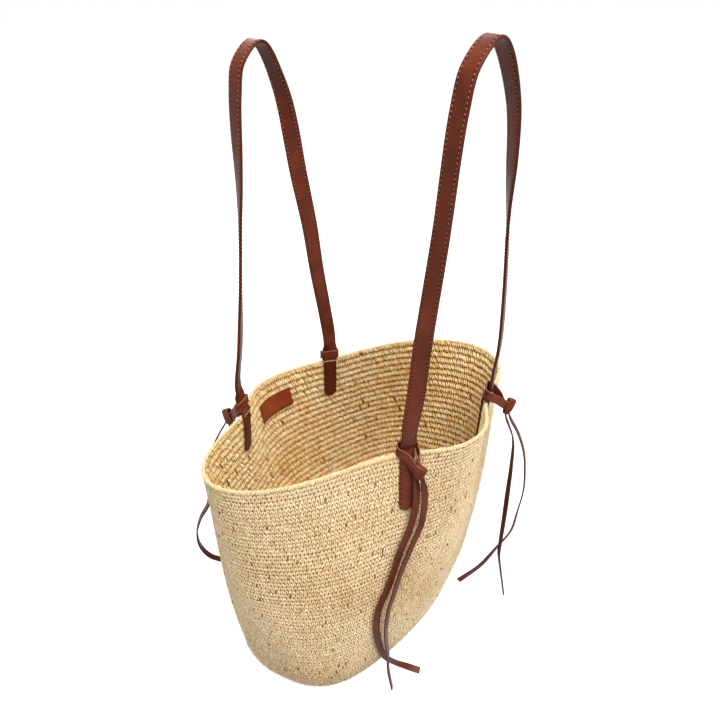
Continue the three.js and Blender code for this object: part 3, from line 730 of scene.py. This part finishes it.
def ply_frames(handle, places, face):
    """One ply from tab tip to tab tip. face is 1 on the outside of the wall and -1 on the inside."""
    middle, across, inner = arch_frames(handle, places)
    arch = middle - inner * (PLY_OFF * ARCH_CLOSING * face)
    parts = []
    for name, near in zip(handle["ends"], (across[0], across[-1])):
        place = places[name]
        parts.append(end_frames(place, face, np.sign(near @ place["along"]), ENDS[name]["tabs"][face]))
    over = (arch[2:-2], across[2:-2], inner[2:-2], np.full(len(arch) - 4, STRAP_WIDTH))
    signs = (1, 1, -1, 1)  # the right end's normals point the other way
    rows = zip(parts[0], over, parts[1], signs)
    return [np.concatenate([left, top, right[::-1] * sign]) for left, top, right, sign in rows]


def seam_threads(name, path, across, normals, widths, face_side, tabs):
    """Short thread stitches in two rows on a ply's outer face, each with a dark spot at both ends: painted
    shade for the needle holes. They are longer and nearer the edge on the two tabs, whose lengths are given."""
    lengths = run(path)
    low, high = tabs[0], lengths[-1] - tabs[1]
    at = np.concatenate([
        np.arange(TAB_SEAM_START, low, TAB_SEAM_PITCH), np.arange(low + 0.004, high - 0.004, SEAM_PITCH),
        lengths[-1] - np.arange(TAB_SEAM_START, tabs[1], TAB_SEAM_PITCH)[::-1],
    ])
    n = len(at)
    on_tab = (at < low) | (at > high)
    inset = np.where(on_tab, TAB_SEAM_INSET, SEAM_INSET)
    size = np.where(on_tab, 1.35, 1.0)
    centre, side_way, off = (resample(at, lengths, table) for table in (path, across, normals))
    side_way, off = unit(side_way), unit(off)
    tangent = unit(np.cross(off, side_way))
    off = off * face_side
    from_middle = np.interp(at, lengths, widths) / 2 - inset
    frames = (side_way, tangent, off)
    threads, hole_shades = [], []
    for side in (1, -1):
        middle = centre + side_way * (side * from_middle)[:, None] + off * (PLY / 2 + 0.0001)
        lean = 0.5 * side + jitter(0.1, n)
        tone = np.clip(rng.normal(0.5, 0.2, n), 0, 1)
        threads.append(
            strands(middle, frames, 0.001 * size, 0.0025 * size, lean, -0.00035, 0.0004, 0.46, 0.0004, tone)
        )
        # Dark spots at both ends of a stitch: painted shade for the needle holes.
        for end in (-1, 1):
            spot = middle + tangent * (end * 0.0013 * size)[:, None] + side_way * (0.00022 * end * side)
            hole_shades.append(
                strands(spot, frames, 0.0014 * size, 0.0015 * size, 0, -0.00012, 0.00005, 0.5, 0.00012)
            )
    made = ((threads, "thread"), (hole_shades, "hole_shades"))
    return [mesh_object(f"{name}_{part}", *join_parts(parts)) for parts, part in made]


def knot_frame(end, place):
    """The knot's middle, the way the tie pulls through it, and its height and depth across that."""
    pull = unit(np.column_stack([place["along"], place["out"], UP]) @ np.array(end["pull"]))
    height = unit(UP - pull * pull[2] * 0.6)
    return by_neck(place, end["knot"]), pull, height, unit(np.cross(pull, height))


def tie_ring(name, end, place):
    """The tie's turn round the neck: a flat lace whose two ends both run into the knot."""
    knot, pull, _, depth = knot_frame(end, place)
    side = STRAP_WIDTH / 2 + RING_PLAY
    top, late = end["ring"]
    knot_shift, knot_off, knot_rise = end["knot"]
    outline = []
    for way in (1, -1):
        half = [
            (0.55 * knot_shift + 0.45 * way * side + 0.0012 * way, 0.52 * knot_off),
            (way * side + 0.06 * knot_shift, 0.0022), (way * side, -0.0012), (way * (side - 0.0022), RING_BACK),
        ]
        outline += half if way == 1 else [(0, RING_BACK - 0.0002)] + half[::-1]
    points = []
    for shift, off in outline:
        fallen = max(0, (off - RING_BACK) / (knot_off - RING_BACK)) ** late
        points.append(by_neck(place, (shift, off, top + (knot_rise - top) * fallen)))
    middle = by_neck(place, (0, 0, top))
    sides = [np.sign(depth @ (points[i] - middle)) or 1.0 for i in (0, -1)]
    first, last = [[knot + depth * way * 0.0009 + pull * reach for reach in (0.003, -0.0045)] for way in sides]
    path, tangent, _ = spline([*first, *points, *last[::-1]], 110)
    normal = unit(np.cross(tangent, UP))
    back = len(path) // 2
    if normal[back] @ (path[back] - middle) < 0:
        normal = -normal
    return band(f"{name}_lace_ring", path, np.cross(tangent, normal), normal, TIE_WIDTH, TIE_THICKNESS)


def tie_knot(name, end, place):
    """The knot: the lace folded double, and one flat turn of it drawn tight over the fold."""
    knot, pull, height, depth = knot_frame(end, place)
    width, tall = end["knot_size"]
    x, near_x, low_x = KNOT_HALF_DEPTH, 0.0022, 0.0013
    turn = [(-x, 0.6), (-near_x, 0.9), (0, 0.98), (near_x, 0.9), (x, 0.6),
            (x, -0.4), (low_x, -1), (-low_x, -1), (-x, -0.4)]
    route = [knot + depth * x + height * (z * tall) + pull * (0.12 * z * tall) for x, z in turn]
    path, tangent, _ = spline(route, 72, closed=True)
    away = path - knot
    rise = away @ height
    normal = square_to(away - np.outer(away @ pull, pull), tangent)
    widths = width * np.interp(rise, (-tall, -0.3 * tall, tall), (0.6, 0.96, 1.0))
    across = np.cross(tangent, normal)
    wrap = band(f"{name}_lace_knot", path, across, normal, widths, TIE_THICKNESS, closed=True)
    way = np.linspace(-0.0058, 0.0043, 14)
    heights, depths = (np.tile(vector, (len(way), 1)) for vector in (height, depth))
    narrow = TIE_WIDTH - 0.0026 * smooth((way - 0.0015) / 0.0028)
    fold = band(f"{name}_lace_fold", knot + pull * way[:, None], heights, depths, narrow, TIE_THICKNESS * 2.6)
    return wrap, fold


def rim_stitches(name, place):
    """The rim's last stitches, drawn over the leather on the inside of the basket."""
    n = RIM_STITCHES
    shift = (np.arange(n) - (n - 1) / 2) * RIM_STITCH_PITCH
    rise = EDGING_TOP * 0.5 + jitter(0.00025, n)
    off = -(EDGING_RADIUS + WALL_GAP + GAP + PLY + 0.0002)
    centre = np.array([by_neck(place, (x, off, z)) for x, z in zip(shift, rise)])
    frames = [np.tile(vector, (n, 1)) for vector in (UP, place["along"], -place["out"])]
    lean, tone = rng.normal(0.5, 0.3, n), rng.uniform(0.5, 1, n)
    made = strands(centre, frames, 0.0012, 0.0018, lean, -0.0002, 0.0003, thick=0.0004, tone=tone)
    return mesh_object(f"{name}_rim_stitches", *made)


def tie_tail(name, directions, route):
    path, tangent, length = spline(route, 90)
    shares = np.linspace(0, 1, len(path))
    turn = np.interp(shares, np.linspace(0, 1, len(directions)), directions)
    across = square_to(flat_way(np.radians(turn)), tangent)
    widths = TAIL_WIDTH * (0.6 + 0.4 * smooth((shares * length - 0.003) / 0.012))
    made = band(name, path, across, np.cross(tangent, across), widths, TAIL_THICKNESS)
    return made, path, length


def label():
    """The patch: a thin plate that follows the inside of the wall."""
    columns, rows = LABEL_GRID
    start, end = LABEL_ANGLES
    grid = np.arange((columns + 1) * (rows + 1)).reshape(columns + 1, rows + 1)
    u, v = np.meshgrid(np.arange(columns + 1) / columns, np.arange(rows + 1) / rows - 0.5, indexing="ij")
    points = []
    for layer in (0, 1):
        angle = start + (end - start) * (0.004 * layer + u * (1 - 0.008 * layer))
        corner = 0.0006 * (abs(2 * u - 1) ** 8 + abs(2 * v) ** 8) * layer
        rise = v * (LABEL_HEIGHT - 0.0008 * layer) - LABEL_DROP
        off = corner - HALF_WALL - WALL_GAP - LABEL_THICKNESS * layer
        points.append(by_wall(angle, off, rise).reshape(-1, 3))
    points = np.concatenate(points)
    uv = np.tile(np.stack([u * 7, v * 2.3], -1).reshape(-1, 2), (2, 1))
    edge = np.tile(((u % 1 == 0) | (abs(v) == 0.5)).ravel(), 2)
    a, b, c, d = grid[:-1, :-1], grid[:-1, 1:], grid[1:, 1:], grid[1:, :-1]
    border = np.concatenate([grid[:-1, 0], grid[-1, :-1], grid[:0:-1, -1], grid[0, :0:-1]])
    nxt = np.roll(border, -1)
    up = grid.size
    faces = triangles([
        (a, b, c), (a, c, d), (a + up, c + up, b + up), (a + up, d + up, c + up),
        (border, nxt, nxt + up), (border, nxt + up, border + up),
    ])
    made = mesh_object("label_leather_patch", points, turned_out(points, faces), uv, {"edge": edge})
    shade_by_angle(made, 35)
    return made


# Materials

class Tree:
    """Short ways to fill the node tree of a material or of the world."""

    def __init__(self, owner, output="OutputMaterial"):
        owner.use_nodes = True
        self.owner, self.tree = owner, owner.node_tree
        self.tree.nodes.clear()
        self.output = self.node(output)

    def join(self, socket, value):
        if isinstance(value, bpy.types.NodeSocket):
            self.tree.links.new(value, socket)
        else:
            socket.default_value = value

    def node(self, kind, inputs=None, **settings):
        """A node with these settings, and with inputs that are constants or other nodes' outputs."""
        made = self.tree.nodes.new("ShaderNode" + kind)
        for key, value in settings.items():
            setattr(made, key, value)
        for key, value in (inputs or {}).items():
            self.join(made.inputs[key], value)
        return made

    def get(self, kind, inputs=None, output=0, **settings):
        return self.node(kind, inputs, **settings).outputs[output]

    def math(self, operation, *inputs):
        return self.get("Math", dict(enumerate(inputs)), operation=operation)

    def camera_or_glossy(self):
        rays = self.node("LightPath")
        return self.math("MAXIMUM", rays.outputs["Is Camera Ray"], rays.outputs["Is Glossy Ray"])


class Look(Tree):
    """A material round one Principled shader."""

    def __init__(self, name):
        super().__init__(bpy.data.materials.new(name))
        self.shader = self.node("BsdfPrincipled")
        self.join(self.output.inputs[0], self.shader.outputs[0])
        self.place = self.get("TexCoord", output="Object")

    def attribute(self, name):
        return self.get("Attribute", output="Fac", attribute_name=name)

    def noise(self, vector, scale, detail=2.0, roughness=0.5):
        inputs = {"Vector": vector, "Scale": scale, "Detail": detail, "Roughness": roughness}
        return self.get("TexNoise", inputs)

    def ramp(self, value, stops):
        made = self.node("ValToRGB", {"Fac": value})
        elements = made.color_ramp.elements
        while len(elements) < len(stops):
            elements.new(0.5)
        for element, (at, colour) in zip(elements, stops):
            element.position = at
            element.color = (*colour, 1)
        return made.outputs[0]

    def mix(self, kind, factor, a, b):
        made = self.node("Mix", data_type="RGBA", blend_type=kind)
        for index, value in ((0, factor), (6, a), (7, b)):
            self.join(made.inputs[index], (*value, 1) if isinstance(value, tuple) else value)
        return made.outputs[2]

    def finish(self, colour, roughness, specular, bump=None, **more):
        """Joins these to the shader. bump is a height with its strength and distance."""
        inputs = {"Base Color": colour, "Roughness": roughness, "Specular IOR Level": specular, **more}
        if bump:
            inputs["Normal"] = self.get("Bump", dict(zip(("Height", "Strength", "Distance"), bump)))
        for key, value in inputs.items():
            self.join(self.shader.inputs[key], value)
        return self.owner


def srgb(r, g, b):
    return tuple((c / 255 / 12.92) if c <= 10 else ((c / 255 + 0.055) / 1.055) ** 2.4 for c in (r, g, b))


def shades(*stops):
    """A ramp's stops, each a place and an sRGB colour from 0 to 255."""
    return [(at, srgb(*colour)) for at, *colour in stops]


def raffia_material(name, groove_shade, groove_shade_share, *stops):
    """Straw with a colour for each strand, streaks along its fibres and painted shade that darkens each strand
    towards its tips, in the grooves.
    """
    look = Look(name)
    patches = look.noise(look.place, 28.0, 3.0)
    uv = look.get("UVMap", uv_map="UVMap")
    fibres = look.noise(look.get("Mapping", {"Vector": uv, "Scale": (9.0, 0.9, 1.0)}), 2.2, 4.0, 0.6)
    toned = look.math("MULTIPLY_ADD", look.math("ADD", patches, -0.5), 0.45, look.attribute("tone"))
    toned = look.math("MULTIPLY_ADD", look.math("ADD", fibres, -0.5), 0.7, toned)
    # Painted shade: the groove colour is mixed in as a strand nears its tips.
    painted_groove_shade = look.math("MULTIPLY", look.attribute("depth"), groove_shade_share)
    colour = look.mix("MIX", painted_groove_shade, look.ramp(toned, shades(*stops)), srgb(*groove_shade))
    sheen = {"Sheen Weight": 0.12, "Sheen Roughness": 0.5}
    return look.finish(colour, 0.62, 0.32, (fibres, 0.35, 0.0004), **sheen)


def backing_material():
    # Painted shade: the shell's brown shows between the strands.
    look = Look("raffia_shade")
    speckle = look.noise(look.place, 420.0)
    colour = look.ramp(speckle, shades((0.3, 122, 80, 36), (0.7, 176, 130, 72)))
    return look.finish(colour, 0.85, 0.15, (speckle, 0.4, 0.0004))


def leather_material(name, dark, mid, light, edge, roughness):
    """Leather with soft clouds of colour, pores, worn gloss and a separate colour on cut edges; on the ties'
    lace that colour is lighter, partly the cut edge's own colour and partly a painted highlight.
    """
    look = Look(name)
    cloud = look.noise(look.place, 34.0, 5.0, 0.62)
    pores = look.get("TexVoronoi", {"Vector": look.place, "Scale": 900.0}, "Distance")
    colour = look.ramp(cloud, shades((0.3, *dark), (0.52, *mid), (0.75, *light)))
    colour = look.mix("MULTIPLY", 0.5, colour, look.ramp(pores, [(0.0, (0.62, 0.62, 0.62)), (0.35, (1, 1, 1))]))
    # Cut edges take the edge colour; the lace's pale one is partly a painted highlight.
    colour = look.mix("MIX", look.attribute("edge"), colour, srgb(*edge))
    worn = look.get("MapRange", {"Value": cloud, "To Min": roughness - 0.07, "To Max": roughness + 0.09})
    height = look.mix("MIX", 0.45, pores, look.noise(look.place, 1500.0))
    return look.finish(colour, worn, 0.14, (height, 0.22, 0.0003))


def thread_material():
    """Waxed thread, tan, with painted shade by height that makes it dark on the tabs; it shows tan over the top
    of the arch.
    """
    look = Look("waxed_thread")
    uv = look.get("UVMap", uv_map="UVMap")
    twist = look.get("TexWave", {"Vector": uv, "Scale": 3.0, "Distortion": 0.5}, bands_direction="DIAGONAL")
    # Painted shade by height: below the top of the arch the thread takes the dark colours.
    height = look.get("SeparateXYZ", {0: look.place}, 2)
    top = look.get("MapRange", {"Value": height, "From Min": 0.42, "From Max": 0.58})
    tone = look.attribute("tone")
    low = look.ramp(tone, shades((0.1, 52, 12, 9), (0.9, 98, 32, 23)))
    high = look.ramp(tone, shades((0.1, 128, 58, 28), (0.9, 178, 98, 54)))
    return look.finish(look.mix("MIX", top, low, high), 0.5, 0.5, (twist, 0.4, 0.0002))


def hole_shade_material():
    # Near-black spots: painted shade for the needle holes.
    look = Look("needle_hole_shade")
    colour = look.ramp(look.noise(look.place, 600.0), shades((0.3, 22, 5, 4), (0.7, 44, 12, 8)))
    return look.finish(colour, 0.9, 0.1)


# Each straw's first colour is painted shade for the grooves; its first stop, at tone 0, is painted shade for
# the open stitches' gaps.
straw = raffia_material(
    "raffia_straw", (128, 86, 40), 0.5, (0, 112, 72, 32), (0.2, 192, 154, 102), (0.6, 222, 197, 153),
    (1, 240, 223, 190),
)
# Painted light: the inside's straw is a lighter, more saturated copy of the outside's, to brighten the inside
# of the bag.
inner_straw_lit = raffia_material(
    "raffia_inside", (150, 96, 40), 0.55, (0, 104, 62, 24), (0.2, 222, 170, 94), (0.6, 252, 222, 156),
    (1, 255, 242, 204),
)
cream_straw = raffia_material(
    "raffia_cream", (140, 100, 52), 0.6, (0, 164, 128, 80), (0.4, 206, 176, 126), (1, 230, 206, 164)
)
LEATHERS = {
    "chestnut_leather": ((72, 29, 14), (87, 36, 18), (101, 45, 25), (54, 21, 11), 0.43),
    # The lace's pale edge colour is partly a painted highlight.
    "chestnut_lace": ((70, 29, 14), (94, 40, 21), (114, 52, 31), (136, 86, 70), 0.44),
    # The tails are the same lace as the ties; this darker copy of it has their shade painted in.
    "tail_lace_shaded": ((58, 25, 15), (80, 35, 21), (98, 45, 29), (70, 34, 27), 0.46),
    "russet_leather": ((104, 40, 18), (124, 50, 24), (142, 64, 34), (96, 40, 24), 0.55),
}
strap_leather, tie_leather, tail_leather, label_leather = (
    leather_material(name, *shade) for name, shade in LEATHERS.items()
)
thread = thread_material()
hole_shade = hole_shade_material()


def finish_piece(made, material, slot, *replaced, body="basket"):
    made.data.materials.append(material)
    if body is not None:
        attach(made, body)
    if replaced:
        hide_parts(*replaced)


def add_rows(name, rows, material, slot):
    """The rows as pieces of as many rows each as keep to the most triangles."""
    batches, size = [[]], 0
    for row in rows:
        if size + len(row[1]) > MOST_TRIANGLES:
            batches.append([])
            size = 0
        batches[-1].append(row)
        size += len(row[1])
    for index, batch in enumerate(batches, 1):
        finish_piece(mesh_object(f"{name}_{index}", *join_parts(batch)), material, slot)


# The basket
finish_piece(mesh_object("raffia_shade_shell", *backing()), backing_material(), "raffia", "basket_shell")
add_rows("raffia_outside", outer_rows(Skin(0, 1)), straw, "raffia")
add_rows("raffia_inside", inner_rows(Skin(WALL, -1)), inner_straw_lit, "raffia")
finish_piece(mesh_object("rim_chain", *rim_chain()), cream_straw, "raffia_edge", "rim_edging")
finish_piece(label(), label_leather, "label_leather", "label_patch")

# Handles
places = place_ends()
for handle_name, handle in HANDLES.items():
    y = places[handle["ends"][0]]["bend"][1]
    blend_from, blend_to = ((0.0, y, BEND_HEIGHT + reach) for reach in (-BEND_BLEND, BEND_BLEND))
    for ply_name, face in (("outer", 1), ("inner", -1)):
        frames = ply_frames(handle, places, face)
        ply = band(f"{handle_name}_strap_{ply_name}", *frames, PLY * 1.04)
        tabs = [ENDS[name]["tabs"][face][1] for name in handle["ends"]]
        threads, hole_shades = seam_threads(f"{handle_name}_{ply_name}", *frames, -face, tabs)
        solids = [f"{name}_{ply_name}_tab" for name in handle["ends"]]
        solids.insert(0, f"{handle_name}_handle_{ply_name}_ply")
        finished = ((ply, strap_leather, solids), (threads, thread, ()), (hole_shades, hole_shade, ()))
        for piece, material, replaced in finished:
            finish_piece(piece, material, "strap_leather", *replaced, body=None)
            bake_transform(piece)
            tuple(blend_from)
            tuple(blend_to)

# Ties
for name, end in ENDS.items():
    place = places[name]
    finish_piece(tie_ring(name, end, place), tie_leather, "tie_leather", f"{name}_tie_loop")
    knot, fold = tie_knot(name, end, place)
    finish_piece(knot, tie_leather, "tie_leather", f"{name}_tie_knot")
    finish_piece(rim_stitches(name, place), cream_straw, "raffia_edge")
    finish_piece(fold, tie_leather, "tie_leather")
    for index in (1, 2):
        directions, route = TAILS[f"{name}_{index}"]
        route = np.array(route) / 1000
        route = [(by_neck(place, end["knot"]) + route[0]) / 2, *route]
        piece, path, length = tie_tail(f"{name}_lace_end_{index}", directions, route)
        finish_piece(piece, tail_leather, "tie_leather", f"{name}_tail_{index}")
        tuple(path[0])
        [tuple(p) for p in path]


# Stage

def add_floor():
    """A floor that shows white to the camera and grey to the light."""
    bpy.ops.mesh.primitive_plane_add(size=14, location=(0, 0, -0.0005))
    floor = bpy.context.active_object
    floor.name = "studio_floor"
    tree = Tree(bpy.data.materials.new("white_floor"))
    diffuse = tree.get("BsdfDiffuse", {0: (FLOOR_SHADE, FLOOR_SHADE, FLOOR_SHADE, 1)})
    strength = tree.math("MULTIPLY", tree.camera_or_glossy(), FLOOR_GLOW)
    glow = tree.get("Emission", {"Strength": strength})
    tree.join(tree.output.inputs[0], tree.get("AddShader", {0: diffuse, 1: glow}))
    floor.data.materials.append(tree.owner)
    return floor


def add_world():
    """White behind everything, and softer as a light."""
    world = bpy.data.worlds.new("studio")
    bpy.context.scene.world = world
    tree = Tree(world, "OutputWorld")
    light, shown = (tree.get("Background", {0: (1, 1, 1, 1), 1: power}) for power in (WORLD_LIGHT, 1.0))
    both = tree.get("MixShader", {0: tree.camera_or_glossy(), 1: light, 2: shown})
    tree.join(tree.output.inputs[0], both)


def aim(made, place, direction):
    made.location = place
    made.rotation_euler = Vector(direction).to_track_quat("-Z", "Y").to_euler()


def add_lamp(name, place, power):
    lamp = bpy.data.lights.new(name, "AREA")
    lamp.shape, lamp.size, lamp.energy = "DISK", LAMP_SIZE, power
    aim(add_object(name, lamp), place, Vector(LAMP_TARGET) - Vector(place))


def add_camera():
    data = bpy.data.cameras.new("camera")
    data.sensor_width, data.lens, data.clip_start = CAMERA_SENSOR, CAMERA_LENS, 0.01
    camera = add_object("camera", data)
    x, y = math.sin(CAMERA_AZIMUTH), math.cos(CAMERA_AZIMUTH)
    aim(camera, CAMERA_PLACE, (x, y, -math.tan(CAMERA_FALL)))
    bpy.context.scene.camera = camera


add_floor()
add_world()
for lamp_name, (lamp_place, lamp_power) in LAMPS.items():
    add_lamp(lamp_name, lamp_place, lamp_power)
add_camera()
bpy.context.scene.view_settings.view_transform = "Standard"
